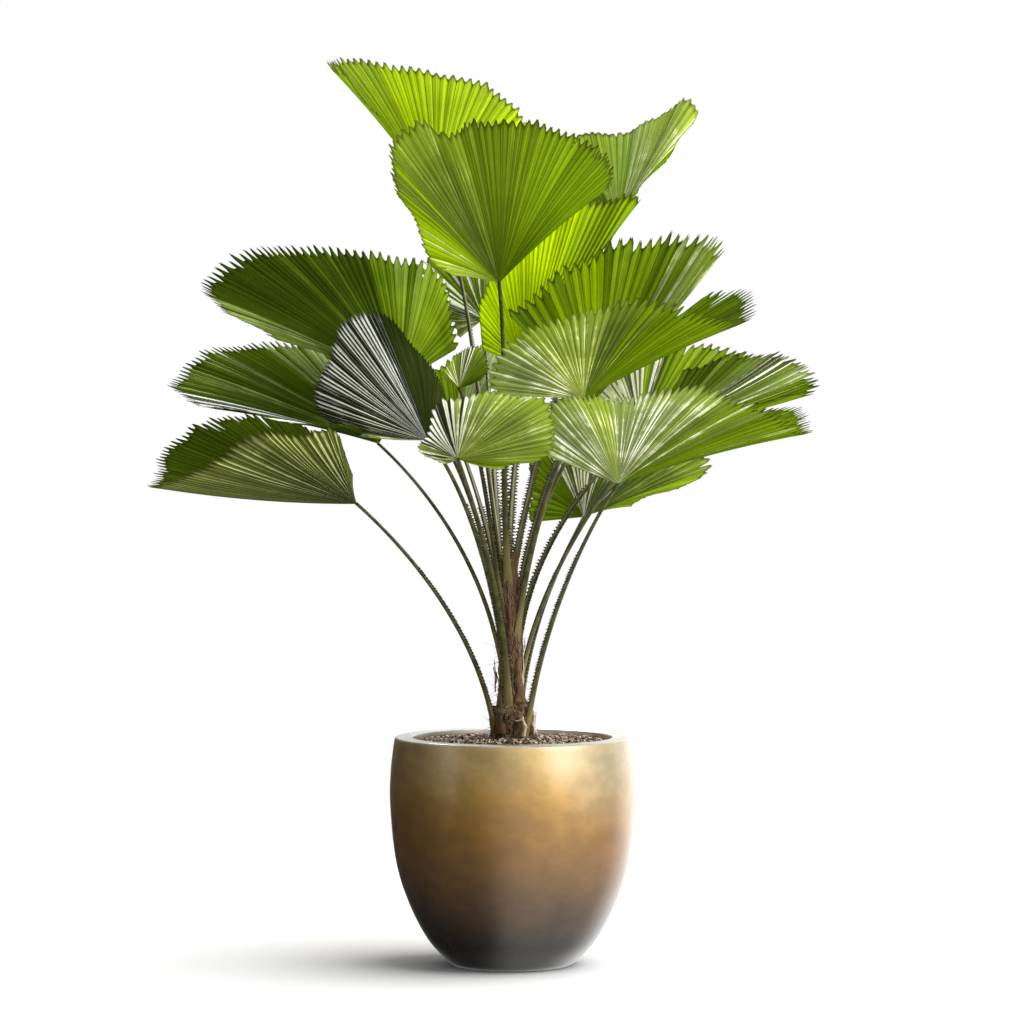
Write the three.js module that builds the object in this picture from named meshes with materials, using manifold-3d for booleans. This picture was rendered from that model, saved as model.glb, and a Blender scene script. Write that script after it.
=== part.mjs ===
// Potted ruffled fan palm: a short fibrous trunk in a round-bellied pot, with one stalk and one pleated,
// round fan blade to each frond. Millimetres, +Z up. The origin is the middle of the pot's flat underside,
// and -Y is the side from which the plant is usually seen.
import * as THREE from 'three';
import { mergeVertices } from 'three/addons/utils/BufferGeometryUtils.js';
import Module from 'manifold-3d';

const wasm = await Module();
wasm.setup();

// Pot: a round-bellied shell with a flat rim that turns inward. The outline is [radius, height], foot to rim.
const POT_OUTLINE = [[125, 0], [172, 51], [211, 125], [238, 211], [250, 325], [249, 400], [241, 468]];
const POT_HEIGHT = 468;
const POT_WALL = 12;
const RIM_WIDTH = 36;
const MOUTH_RADIUS = POT_OUTLINE.at(-1)[0] - RIM_WIDTH;
const POT_SIDES = 40;
const POT_CURVE_STEPS = 9;
const INNER_CORNER_WIDTH = 14;
const INNER_CORNER_HEIGHT = 8;

// Gap between neighbouring solids
const CLEAR = 0.3;

// Potting soil: fills the shell to just under the rim
const SOIL_BELOW_RIM = 12;

// Trunk: swollen into a wide foot at the soil, tapering and leaning a little above it, among the leaf stalks
const SOIL_TOP = POT_HEIGHT - SOIL_BELOW_RIM;
const TRUNK_FOOT = SOIL_TOP + CLEAR;
const TRUNK_TOP = 845;
const TRUNK_FOOT_X = 1;
const TRUNK_LEAN_X = -6;
const TRUNK_SIDES = 14;
const TRUNK_STEPS = 16;
const FLARE_WIDTH = 18;
const FLARE_END = 532;
const FLARE_SOFTNESS = 8;
const TRUNK_RADIUS = 24;
const TRUNK_TIP_RADIUS = 8;

// Old leaf bases: short cut stubs round the trunk's foot, each [compass angle, height]
const OLD_BASES = {
  front: [290, 472], left: [232, 478], right: [35, 484], back: [80, 492], back_left: [142, 494],
};
const OLD_BASE_LENGTH = 34;
const OLD_BASE_RADIUS = 10;
const OLD_BASE_TILT = 8;

// Stalks: tapering, a little thicker at the trunk than at the blade, with the foot sunk into the trunk's round
const STALK_BASE_RADIUS = 6.5;
const STALK_TIP_RADIUS = 4;
const STALK_SIDES = 5;
const STALK_STEPS = 9;
const STALK_TILT = 9;
const FOOT_SUNK = 2;

// Blades: a fan of ribs from a small knuckle at the stalk's tip, pleated, and toothed along its margin
const KNUCKLE_RADIUS = 12;
const KNUCKLE_SIDES = 6;
const KNUCKLE_ROWS = 4;
const BLADE_THICKNESS = 4.6;
const BLADE_START = 8;
const BLADE_START_THICKNESS = 2.6;
const TEETH = 14;
const NOTCH_DEPTH = 0.05;
const PLEAT_HEIGHT = 9;

// Points closer than this are one point
const SAME_POINT = 1e-4;

const POT_COLOUR = 0xa88647;
const SOIL_COLOUR = 0x4a3626;
const TRUNK_COLOUR = 0x6b4a33;
const STALK_COLOUR = 0x5d7038;
const BLADE_COLOUR = 0x5f8f1f;

// One row to a frond. hub: where the blade's ribs meet. foot: [compass angle, height] of the stalk on the
// trunk, 0 at +X and 90 at +Y. rise: how far the stalk climbs beside the trunk before it bends away.
// arrive: [bearing, lean, length] with which it reaches the hub. ribs: some of the blade's ribs in order
// round the fan, each [bearing, lean, length]. A bearing is anticlockwise from +X as seen from the front,
// and a lean is toward the front.
const FRONDS = {
  top_front: {
    hub: [-26, -60, 1396], foot: [250, 800], rise: 260, arrive: [96, -5, 160],
    ribs: [[168, -55, 180], [159, -42, 203], [145, -20, 236], [130, 20, 373], [122, 23, 402],
      [116, 23, 396], [111, 18, 339], [99, 28, 373], [88, 32, 386], [70, 29, 378], [54, 18, 358],
      [43, -4, 326], [47, -40, 270]],
  },
  top_left: {
    hub: [-160, 150, 1581], foot: [160, 790], rise: 420, arrive: [114, -16, 200],
    ribs: [[10, -50, 300], [28, -46, 340], [45, -44, 366], [59, -45, 389], [70, -45, 407], [95, -45, 408],
      [109, -42, 429], [118, -37, 460], [127, -28, 429], [128, 0, 355], [127, 30, 330], [125, 50, 300]],
  },
  top_right: {
    hub: [225, 330, 1546], foot: [62, 800], rise: 260, tilt: 20, arrive: [70, 0, 320],
    ribs: [[150, -55, 250], [117, -50, 340], [105, -55, 360], [85, -55, 370], [68, -49, 390],
      [61, -44, 458], [53, -46, 444], [52, -62, 400], [56, -80, 340]],
  },
  upper_back: {
    hub: [23, 200, 1228], foot: [98, 760], rise: 200, arrive: [90, -40, 140],
    ribs: [[155, -45, 130], [136, -36, 168], [117, -30, 214], [101, -25, 285], [73, -13, 381],
      [63, -9, 417], [55, -6, 444], [56, -14, 402]],
  },
  upper_right: {
    hub: [169, -40, 1158], foot: [10, 735], rise: 220, arrive: [68, 3, 130],
    ribs: [[135, -38, 335], [119, -41, 351], [102, -38, 374], [92, -36, 387], [82, -32, 404], [70, -28, 425],
      [60, -22, 440], [55, -16, 447], [52, -8, 431], [50, 3, 412]],
  },
  mid_right: {
    hub: [144, -180, 1160], foot: [322, 690], rise: 220, arrive: [68, 26, 140],
    ribs: [[178, 45, 270], [169, 47, 303], [158, 50, 314], [135, 57, 335], [96, 64, 400], [80, 63, 405],
      [59, 57, 415], [44, 50, 415], [27, 34, 398], [29, 3, 402], [35, -13, 410], [40, -25, 384]],
  },
  right_back: {
    hub: [266, 130, 1107], foot: [48, 640], rise: 240, arrive: [50, -24, 140],
    ribs: [[170, -48, 280], [150, -56, 320], [120, -62, 340], [90, -62, 380], [53, -58, 410], [36, -50, 440],
      [25, -38, 440], [18, -15, 380]],
  },
  far_right: {
    hub: [283, 20, 1089], foot: [352, 590], rise: 200, arrive: [48, -4, 140],
    ribs: [[60, -60, 330], [36, -40, 390], [30, -32, 400], [25, -22, 390], [20, -6, 372], [16, 13, 367],
      [15, 26, 360], [18, 38, 300]],
  },
  low_right_front: {
    hub: [210, -290, 992], foot: [325, 495], rise: 200, arrive: [56, 36, 140],
    ribs: [[158, 50, 280], [135, 46, 300], [107, 59, 370], [90, 65, 410], [62, 59, 415], [50, 53, 430],
      [40, 50, 440], [17, 28, 430], [19, 0, 403], [24, -16, 411], [30, -33, 330], [45, -50, 260]],
  },
  low_right_back: {
    hub: [150, 150, 915], foot: [35, 545], rise: 170, arrive: [62, -25, 110],
    ribs: [[190, -68, 300], [170, -68, 310], [134, -57, 310], [100, -50, 330], [68, -52, 370],
      [24, -43, 425], [18, -44, 414], [16, -51, 375], [8, -68, 300]],
  },
  low_front: {
    hub: [-107, -320, 1042], foot: [256, 537], rise: 230, arrive: [108, 42, 160],
    ribs: [[200, 82, 230], [170, 74, 240], [144, 75, 300], [103, 70, 340], [75, 67, 350], [56, 63, 345],
      [36, 53, 345], [14, 53, 335], [2, 57, 300], [-12, 70, 260]],
  },
  young: {
    hub: [-108, 5, 1183], foot: [200, 740], rise: 180, arrive: [112, 4, 110],
    ribs: [[149, 25, 48], [116, 17, 59], [92, 10, 73], [75, 7, 92], [58, 8, 97], [41, 14, 83],
      [16, 31, 59]],
  },
  upper_left: {
    hub: [-231, 50, 1196], foot: [168, 690], rise: 280, arrive: [138, -5, 110],
    ribs: [[32, -63, 325], [61, -57, 374], [77, -51, 419], [99, -50, 446], [117, -46, 466], [127, -37, 469],
      [143, -17, 470], [155, 0, 462], [158, 25, 410], [162, 42, 370]],
  },
  mid_left: {
    hub: [-272, -30, 1069], foot: [184, 617], rise: 190, arrive: [138, 0, 150],
    ribs: [[70, -75, 300], [90, -68, 330], [116, -57, 415], [138, -44, 440], [144, -35, 445], [155, -17, 450],
      [165, 3, 450], [167, 35, 390], [163, 62, 350], [140, 80, 290]],
  },
  left_front: {
    hub: [-166, -320, 1079], foot: [232, 600], rise: 230, arrive: [134, 40, 100],
    ribs: [[4, -59, 198], [44, -69, 208], [75, -65, 243], [92, -57, 291], [101, -51, 334], [108, -45, 368],
      [118, -40, 380], [127, -37, 383], [144, -39, 340], [162, -39, 325], [170, -44, 309], [176, -56, 289]],
  },
  low_left: {
    hub: [-312, -150, 949], foot: [204, 480], rise: 215, arrive: [138, 15, 120],
    ribs: [[85, 76, 288], [94, 70, 339], [101, 64, 369], [129, 62, 385], [142, 55, 425], [159, 49, 440],
      [175, 23, 440], [171, -5, 425], [164, -23, 458], [151, -35, 450], [143, -45, 440], [134, -54, 425],
      [110, -72, 330]],
  },
  back_low: {
    hub: [-110, 330, 1060], foot: [108, 590], rise: 220, arrive: [112, -45, 150],
    ribs: [[63, -15, 290], [60, -35, 350], [70, -52, 400], [101, -64, 440], [142, -65, 455], [148, -50, 450],
      [145, -30, 420], [137, -11, 350], [122, 5, 290]],
  },
  back_right: {
    hub: [240, 330, 1290], foot: [55, 700], rise: 260, arrive: [52, -40, 160],
    ribs: [[60, 0, 230], [60, -25, 280], [54, -45, 350], [58, -62, 400], [102, -67, 430], [130, -55, 380],
      [135, -48, 320], [131, -21, 270]],
  },
  back_upper: {
    hub: [-60, 330, 1330], foot: [118, 675], rise: 260, tilt: 11, arrive: [95, -20, 160],
    ribs: [[66, -8, 200], [57, -33, 300], [72, -50, 380], [99, -62, 440], [139, -62, 450], [156, -50, 440],
      [158, -33, 380], [155, -28, 220], [176, -54, 136], [-146, -53, 118]],
  },
};

// A unit direction from a bearing and a lean in degrees
function direction(bearing, lean) {
  const a = THREE.MathUtils.degToRad(bearing);
  const b = THREE.MathUtils.degToRad(lean);
  return new THREE.Vector3(Math.cos(a) * Math.cos(b), -Math.sin(b), Math.sin(a) * Math.cos(b));
}

function geometryOf(positions, index) {
  const geometry = new THREE.BufferGeometry();
  geometry.setAttribute('position', new THREE.Float32BufferAttribute(positions, 3));
  geometry.setIndex(index);
  return geometry;
}

// A closed solid from rows of rings: each ring has the same number of points, and the first and last are capped
function loft(rings) {
  const sides = rings[0].length;
  const positions = rings.flat().flatMap((p) => [p.x, p.y, p.z]);
  const index = [];
  for (let row = 0; row + 1 < rings.length; row++) {
    for (let k = 0; k < sides; k++) {
      const a = row * sides + k;
      const b = row * sides + (k + 1) % sides;
      index.push(a, b, b + sides, a, b + sides, a + sides);
    }
  }
  const last = (rings.length - 1) * sides;
  for (let k = 1; k + 1 < sides; k++) {
    index.push(0, k + 1, k);
    index.push(last, last + k, last + k + 1);
  }
  return geometryOf(positions, index);
}

function signedVolume(geometry) {
  const p = geometry.getAttribute('position');
  const index = geometry.getIndex();
  const [a, b, c] = [new THREE.Vector3(), new THREE.Vector3(), new THREE.Vector3()];
  let sum = 0;
  for (let i = 0; i < index.count; i += 3) {
    a.fromBufferAttribute(p, index.getX(i));
    b.fromBufferAttribute(p, index.getX(i + 1));
    c.fromBufferAttribute(p, index.getX(i + 2));
    sum += a.dot(b.cross(c)) / 6;
  }
  return sum;
}

function facingOut(geometry) {
  if (signedVolume(geometry) < 0) {
    const index = geometry.getIndex();
    for (let i = 0; i < index.count; i += 3) {
      const swap = index.getX(i);
      index.setX(i, index.getX(i + 1));
      index.setX(i + 1, swap);
    }
  }
  return geometry;
}

function toManifold(geometry) {
  const plain = geometry.clone();
  plain.deleteAttribute('normal');
  plain.deleteAttribute('uv');
  const merged = facingOut(mergeVertices(plain, SAME_POINT));
  return new wasm.Manifold(new wasm.Mesh({
    numProp: 3,
    vertProperties: new Float32Array(merged.getAttribute('position').array),
    triVerts: new Uint32Array(merged.getIndex().array),
  }));
}

function fromManifold(solid) {
  const mesh = solid.getMesh();
  return geometryOf(mesh.vertProperties, new THREE.BufferAttribute(mesh.triVerts, 1));
}

function piece(name, geometry, colour, roughness, metalness = 0) {
  const material = new THREE.MeshStandardMaterial({ color: colour, roughness, metalness });
  const mesh = new THREE.Mesh(geometry, material);
  mesh.name = name;
  return mesh;
}

// The pot's outer curve, from the foot over the belly to the rim
function potOutline() {
  const curve = new THREE.SplineCurve(POT_OUTLINE.map(([radius, height]) => new THREE.Vector2(radius, height)));
  return curve.getPoints(POT_CURVE_STEPS);
}

// The same curve moved inward by a wall, from a floor to a ceiling, with a corner cut off at the floor
function innerOutline(wall, floor, ceiling) {
  const low = floor + INNER_CORNER_HEIGHT;
  const high = ceiling - INNER_CORNER_HEIGHT;
  const side = potOutline()
    .filter((p) => p.y > low && p.y < high)
    .map((p) => new THREE.Vector2(p.x - wall, p.y));
  const atFloor = new THREE.Vector2(side[0].x - INNER_CORNER_WIDTH, floor);
  return [atFloor, ...side, new THREE.Vector2(side.at(-1).x, ceiling)];
}

function buildPot() {
  const profile = [
    new THREE.Vector2(0, 0),
    ...potOutline(),
    new THREE.Vector2(MOUTH_RADIUS, POT_HEIGHT),
    new THREE.Vector2(MOUTH_RADIUS, POT_HEIGHT - POT_WALL),
    ...innerOutline(POT_WALL, POT_WALL, POT_HEIGHT - POT_WALL).reverse(),
    new THREE.Vector2(0, POT_WALL),
  ];
  const lathe = new THREE.LatheGeometry(profile, POT_SIDES);
  return piece('pot', lathe.rotateX(Math.PI / 2), POT_COLOUR, 0.35, 0.7);
}

// The soil has the shell's inner shape, and a neck that stands up inside the rim
function buildSoil() {
  const wall = POT_WALL + CLEAR;
  const ceiling = POT_HEIGHT - POT_WALL - CLEAR;
  const neck = MOUTH_RADIUS - CLEAR;
  const profile = [
    new THREE.Vector2(0, wall),
    ...innerOutline(wall, wall, ceiling),
    new THREE.Vector2(neck, ceiling),
    new THREE.Vector2(neck, SOIL_TOP),
    new THREE.Vector2(0, SOIL_TOP),
  ];
  const lathe = new THREE.LatheGeometry(profile, POT_SIDES);
  return piece('soil', lathe.rotateX(Math.PI / 2), SOIL_COLOUR, 0.95);
}

// The trunk's axis and radius at a height
function trunkCentre(z) {
  const share = (z - SOIL_TOP) / (TRUNK_TOP - SOIL_TOP);
  return new THREE.Vector3(TRUNK_FOOT_X + TRUNK_LEAN_X * share, 0, z);
}

function trunkRadius(z) {
  const share = (z - SOIL_TOP) / (TRUNK_TOP - SOIL_TOP);
  const body = TRUNK_TIP_RADIUS + (TRUNK_RADIUS - TRUNK_TIP_RADIUS) * Math.sqrt(Math.max(0, 1 - share * share));
  return body + FLARE_WIDTH / (1 + Math.exp((z - FLARE_END) / FLARE_SOFTNESS));
}

// The trunk's solid, or with grow the same shape a little larger all round
function trunkGeometry(grow = 0) {
  const rings = [];
  for (let step = 0; step <= TRUNK_STEPS; step++) {
    const height = TRUNK_FOOT + (TRUNK_TOP - TRUNK_FOOT) * step / TRUNK_STEPS;
    const centre = trunkCentre(height);
    const radius = trunkRadius(height) + grow;
    const spread = step === 0 ? -grow : step === TRUNK_STEPS ? grow : 0;
    rings.push(Array.from({ length: TRUNK_SIDES }, (_, k) => {
      const angle = 2 * Math.PI * k / TRUNK_SIDES;
      const across = new THREE.Vector3(radius * Math.cos(angle), radius * Math.sin(angle), spread);
      return across.add(centre);
    }));
  }
  return loft(rings);
}

function buildTrunk() {
  return piece('trunk', trunkGeometry(), TRUNK_COLOUR, 0.95);
}

// A place on the trunk's side, a little way in, and the direction that rises from it at a tilt
function sidePlace([compass, height], tiltDegrees) {
  const around = THREE.MathUtils.degToRad(compass);
  const tilt = THREE.MathUtils.degToRad(tiltDegrees);
  const outward = new THREE.Vector3(Math.cos(around), Math.sin(around), 0);
  const start = trunkCentre(height).addScaledVector(outward, trunkRadius(height) - FOOT_SUNK);
  const climb = outward.multiplyScalar(Math.sin(tilt)).add(new THREE.Vector3(0, 0, Math.cos(tilt)));
  return { start, climb };
}

// A tapering round limb along a curve
function limbGeometry(curve, steps, startRadius, endRadius) {
  const frames = curve.computeFrenetFrames(steps, false);
  const centres = curve.getSpacedPoints(steps);
  return loft(centres.map((centre, i) => {
    const radius = THREE.MathUtils.lerp(startRadius, endRadius, i / steps);
    return Array.from({ length: STALK_SIDES }, (_, k) => {
      const angle = 2 * Math.PI * k / STALK_SIDES;
      return centre.clone()
        .addScaledVector(frames.normals[i], radius * Math.cos(angle))
        .addScaledVector(frames.binormals[i], radius * Math.sin(angle));
    });
  }));
}

function buildOldBase(name, place, trunkCutter) {
  const { start, climb } = sidePlace(place, OLD_BASE_TILT);
  const curve = new THREE.LineCurve3(start, start.clone().addScaledVector(climb, OLD_BASE_LENGTH));
  const solid = toManifold(limbGeometry(curve, 1, OLD_BASE_RADIUS, OLD_BASE_RADIUS)).subtract(trunkCutter);
  return piece(`old_base_${name}`, fromManifold(solid), TRUNK_COLOUR, 0.9);
}

// A stalk climbs beside the trunk and bends over to the hub. Its foot is cut to the trunk's round.
function stalkCurve(frond) {
  const { start, climb } = sidePlace(frond.foot, frond.tilt ?? STALK_TILT);
  const [bearing, lean, pull] = frond.arrive;
  const travel = direction(bearing, lean);
  const hub = new THREE.Vector3(...frond.hub);
  return new THREE.CubicBezierCurve3(
    start,
    start.clone().addScaledVector(climb, frond.rise),
    hub.clone().addScaledVector(travel, -pull),
    hub.clone().addScaledVector(travel, -(KNUCKLE_RADIUS + CLEAR)),
  );
}

function buildStalk(name, frond, trunkCutter) {
  const whole = limbGeometry(stalkCurve(frond), STALK_STEPS, STALK_BASE_RADIUS, STALK_TIP_RADIUS);
  return piece(`stalk_${name}`, fromManifold(toManifold(whole).subtract(trunkCutter)), STALK_COLOUR, 0.6);
}

// A pleated fan: ribs run from the hub to evenly spaced points of a smooth margin, every second one a tooth.
// Each rib gives four corners, upper and lower at its start and upper and lower at its end.
function fanGeometry(frond) {
  const hub = new THREE.Vector3(...frond.hub);
  const tips = frond.ribs.map(([bearing, lean, length]) => direction(bearing, lean).multiplyScalar(length));
  const margin = new THREE.CatmullRomCurve3(tips, false, 'centripetal').getSpacedPoints(2 * TEETH);
  const rings = margin.map((tip, k) => {
    const along = margin[Math.min(k + 1, 2 * TEETH)].clone().sub(margin[Math.max(k - 1, 0)]);
    const normal = tip.clone().cross(along).normalize();
    const isTooth = k % 2 === 1;
    const reach = isTooth ? 1 : 1 - NOTCH_DEPTH;
    const fold = (isTooth ? 1 : -1) * PLEAT_HEIGHT / 2;
    const start = hub.clone().addScaledVector(tip.clone().normalize(), BLADE_START);
    const end = hub.clone().addScaledVector(tip, reach).addScaledVector(normal, fold);
    return [
      start.clone().addScaledVector(normal, BLADE_START_THICKNESS / 2),
      end.clone().addScaledVector(normal, BLADE_THICKNESS / 2),
      end.clone().addScaledVector(normal, -BLADE_THICKNESS / 2),
      start.clone().addScaledVector(normal, -BLADE_START_THICKNESS / 2),
    ];
  });
  return loft(rings);
}

// The knuckle's pole points down the stalk, so the stalk's tip meets it there
function knuckleGeometry(frond) {
  const travel = direction(frond.arrive[0], frond.arrive[1]);
  const turn = new THREE.Quaternion().setFromUnitVectors(new THREE.Vector3(0, 1, 0), travel);
  const knuckle = new THREE.SphereGeometry(KNUCKLE_RADIUS, KNUCKLE_SIDES, KNUCKLE_ROWS);
  return knuckle.applyQuaternion(turn).translate(...frond.hub);
}

function buildBlade(name, frond) {
  const solid = toManifold(fanGeometry(frond)).add(toManifold(knuckleGeometry(frond)));
  return piece(`blade_${name}`, fromManifold(solid), BLADE_COLOUR, 0.5);
}

const palm = new THREE.Group();
palm.add(buildPot(), buildSoil(), buildTrunk());
const trunkCutter = toManifold(trunkGeometry(2 * CLEAR));
for (const [name, place] of Object.entries(OLD_BASES)) {
  palm.add(buildOldBase(name, place, trunkCutter));
}
for (const [name, frond] of Object.entries(FRONDS)) {
  palm.add(buildStalk(name, frond, trunkCutter));
  palm.add(buildBlade(name, frond));
}

export default palm;
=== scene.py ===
# A ruffled fan palm in a round-bellied pot: the pot and its soil, the fibrous trunk with its old leaf bases,
# nineteen spined stalks and their pleated round fan blades. Metres, +Z up, -Y the side that is usually seen.
import math
import random

import bpy
import numpy as np
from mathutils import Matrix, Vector, noise


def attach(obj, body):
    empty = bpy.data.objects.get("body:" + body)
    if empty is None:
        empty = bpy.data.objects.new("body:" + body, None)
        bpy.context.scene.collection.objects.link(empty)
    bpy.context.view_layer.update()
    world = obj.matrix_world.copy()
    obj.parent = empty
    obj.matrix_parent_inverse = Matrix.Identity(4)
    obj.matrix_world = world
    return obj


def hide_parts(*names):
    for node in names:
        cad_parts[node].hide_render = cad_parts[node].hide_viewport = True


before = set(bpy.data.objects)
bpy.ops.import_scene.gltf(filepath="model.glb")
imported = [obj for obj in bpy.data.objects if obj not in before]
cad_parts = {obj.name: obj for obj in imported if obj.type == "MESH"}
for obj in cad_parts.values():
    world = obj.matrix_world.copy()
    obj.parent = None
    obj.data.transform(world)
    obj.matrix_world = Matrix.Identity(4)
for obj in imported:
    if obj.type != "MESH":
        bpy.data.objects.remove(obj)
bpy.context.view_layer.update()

# Pot: a thin composite shell turned on a wheel and sprayed with metallic lacquer, pale gold at the rim and
# ochre below it, and almost black at the foot. Its flat rim turns in over the soil, with rounded edges.
MM = 0.001
POT_OUTLINE = [(125, 0), (172, 51), (211, 125), (238, 211), (250, 325), (249, 400), (241, 468)]
POT_HEIGHT = 468
POT_EDGE = 5
POT_SIDES = 160
POT_ROWS = 9
EDGE_STEPS = 5
FOOT_EDGE = [(121, 0), (126, 3)]
MOUTH_RADIUS = 205
MOUTH_EDGE = 3
UNDER_LIP = [(MOUTH_RADIUS, 440), (MOUTH_RADIUS + 12, 425)]
RIM_FROM = 463
INSIDE_RADIUS = 222
INSIDE_FROM = 420
INSIDE_SOFTNESS = 4
LACQUER = [(0.0, (52, 48, 40)), (0.12, (72, 63, 50)), (0.28, (142, 111, 80)), (0.45, (186, 141, 83)),
           (0.62, (216, 160, 76)), (0.78, (242, 192, 98)), (0.93, (250, 216, 140))]
PAINTED_GOLD_HIGHLIGHT = (236, 222, 190)
RIM_WHITE = (226, 222, 212)


def smooth_through(points, steps, even=True):
    """A Catmull-Rom curve through the points, uniform where even and else centripetal."""
    p = np.array(points, float)
    p = np.vstack([2 * p[0] - p[1], p, 2 * p[-1] - p[-2]])
    gaps = np.ones(len(p)) if even else np.sqrt(np.linalg.norm(np.diff(p, axis=0), axis=1))
    t = (np.arange(steps) / steps)[:, None]
    curve = []
    for i in range(1, len(p) - 2):
        a, b, c = gaps[i - 1], gaps[i], gaps[i + 1]
        slope_a = ((p[i] - p[i - 1]) / a - (p[i + 1] - p[i - 1]) / (a + b) + (p[i + 1] - p[i]) / b) * b
        slope_b = ((p[i + 1] - p[i]) / b - (p[i + 2] - p[i]) / (b + c) + (p[i + 2] - p[i + 1]) / c) * b
        curve.append((2 * t**3 - 3 * t**2 + 1) * p[i] + (t**3 - 2 * t**2 + t) * slope_a
                     + (3 * t**2 - 2 * t**3) * p[i + 1] + (t**3 - t**2) * slope_b)
    return np.vstack(curve + [p[-2:-1]])


def mesh_piece(name, points, faces, materials, smooth=True):
    """A mesh object from points in millimetres, riding on the palm's one body."""
    mesh = bpy.data.meshes.new(name)
    mesh.from_pydata((np.asarray(points) * MM).tolist(), [], faces)
    mesh.polygons.foreach_set("use_smooth", [smooth] * len(mesh.polygons))
    for material in materials:
        mesh.materials.append(material)
    mesh.update()
    piece = bpy.data.objects.new(name, mesh)
    bpy.context.scene.collection.objects.link(piece)
    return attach(piece, "root")


def grid_faces(rows, columns, closed=False):
    """Four-sided faces over a grid of points stored row by row, joined round each row where closed."""
    faces = []
    for a in range(0, (rows - 1) * columns, columns):
        for column in range(columns if closed else columns - 1):
            beside = (column + 1) % columns
            faces.append((a + column, a + beside, a + columns + beside, a + columns + column))
    return faces


def round_angles(count):
    """Angles evenly spaced round a circle."""
    return 2 * math.pi * np.arange(count) / count


def turned(profile, sides):
    """A profile of (radius, height) turned about the upright."""
    ring = np.stack([np.cos(round_angles(sides)), np.sin(round_angles(sides))], 1)
    rings = [np.column_stack([ring * max(radius, 0.01), np.full(sides, z)]) for radius, z in profile]
    return np.vstack(rings), grid_faces(len(profile), sides, closed=True)


def quarter_round(radius_out, height, edge, start):
    """Profile points of a rounded edge about a centre, over the quarter turn from an angle in degrees."""
    angles = np.radians(np.linspace(start, start + 90, EDGE_STEPS))
    return [(radius_out + edge * math.cos(a), height + edge * math.sin(a)) for a in angles]


class Wire:
    """A socket in a material's nodes. Arithmetic on it adds Math nodes, and node() adds any other node."""

    def __init__(self, tree, socket=None):
        self.tree = tree
        self.socket = socket

    def node(self, kind, settings=None, values=None, output=0):
        """Adds a shader node of a kind, with its settings first and then its sockets' values or links."""
        added = self.tree.nodes.new("ShaderNode" + kind)
        for name, value in (settings or {}).items():
            if name == "stops":
                while len(added.color_ramp.elements) < len(value):
                    added.color_ramp.elements.new(0.5)
                for element, (place, colour) in zip(added.color_ramp.elements, value):
                    element.position = place
                    element.color = colour
            else:
                setattr(added, name, value)
        for name, value in (values or {}).items():
            if isinstance(value, Wire):
                self.tree.links.new(value.socket, added.inputs[name])
            else:
                added.inputs[name].default_value = value
        return Wire(self.tree, added.outputs[output])

    def math(self, operation, *others):
        return self.node("Math", {"operation": operation}, dict(enumerate((self,) + others)))

    def __add__(self, other):
        return self.math("ADD", other)

    __radd__ = __add__

    def __mul__(self, other):
        return self.math("MULTIPLY", other)

    __rmul__ = __mul__

    def __sub__(self, other):
        return self.math("SUBTRACT", other)

    def __rsub__(self, other):
        return self.node("Math", {"operation": "SUBTRACT"}, {0: other, 1: self})

    def part(self, index):
        """One part of this vector: 0 for x, 1 for y, 2 for z."""
        return self.node("SeparateXYZ", None, {0: self}, index)

    def between(self, low, high):
        """0 below low and 1 above high, smoothly between."""
        values = {"Value": self, "From Min": low, "From Max": high}
        return self.node("MapRange", {"interpolation_type": "SMOOTHSTEP"}, values)

    def mixed(self, colour_a, colour_b):
        """colour_a where this is 0, and colour_b where it is 1."""
        return self.node("Mix", {"data_type": "RGBA"}, {0: self, 6: colour_a, 7: colour_b}, 2)

    def noise(self, size, detail, roughness=0.6):
        """Noise over this vector, of about size metres or units a blob."""
        values = {"Vector": self, "Scale": 1 / size, "Detail": detail, "Roughness": roughness}
        return self.node("TexNoise", None, values)

    def stretched(self, x, y, z):
        """This vector or colour with each part multiplied."""
        return self.node("VectorMath", {"operation": "MULTIPLY"}, {0: self, 1: (x, y, z)})

    def scaled(self, amount):
        """This vector or colour, all of it multiplied by one number."""
        return self.node("VectorMath", {"operation": "SCALE"}, {0: self, "Scale": amount})

    def bump(self, distance, strength):
        """A normal that carries this height, of a distance in metres."""
        values = {"Height": self, "Distance": distance, "Strength": strength}
        return self.node("Bump", None, values)


def rgb(red, green, blue):
    """A colour of 0 to 255 parts as the shaders' own linear numbers."""
    linear = [((c / 255 + 0.055) / 1.055) ** 2.4 if c > 10 else c / 255 / 12.92 for c in (red, green, blue)]
    return (*linear, 1.0)


def new_finish(name):
    """An empty material, a Wire to add its nodes with, and its Principled shader."""
    material = bpy.data.materials.new(name)
    material.use_nodes = True
    return material, Wire(material.node_tree), material.node_tree.nodes["Principled BSDF"]


def feed(shader, **values):
    """Sets or links a shader's sockets, named with underscores for spaces."""
    for name, value in values.items():
        socket = shader.inputs[name.replace("_", " ")]
        if isinstance(value, Wire):
            value.tree.links.new(value.socket, socket)
        else:
            socket.default_value = value


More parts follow.
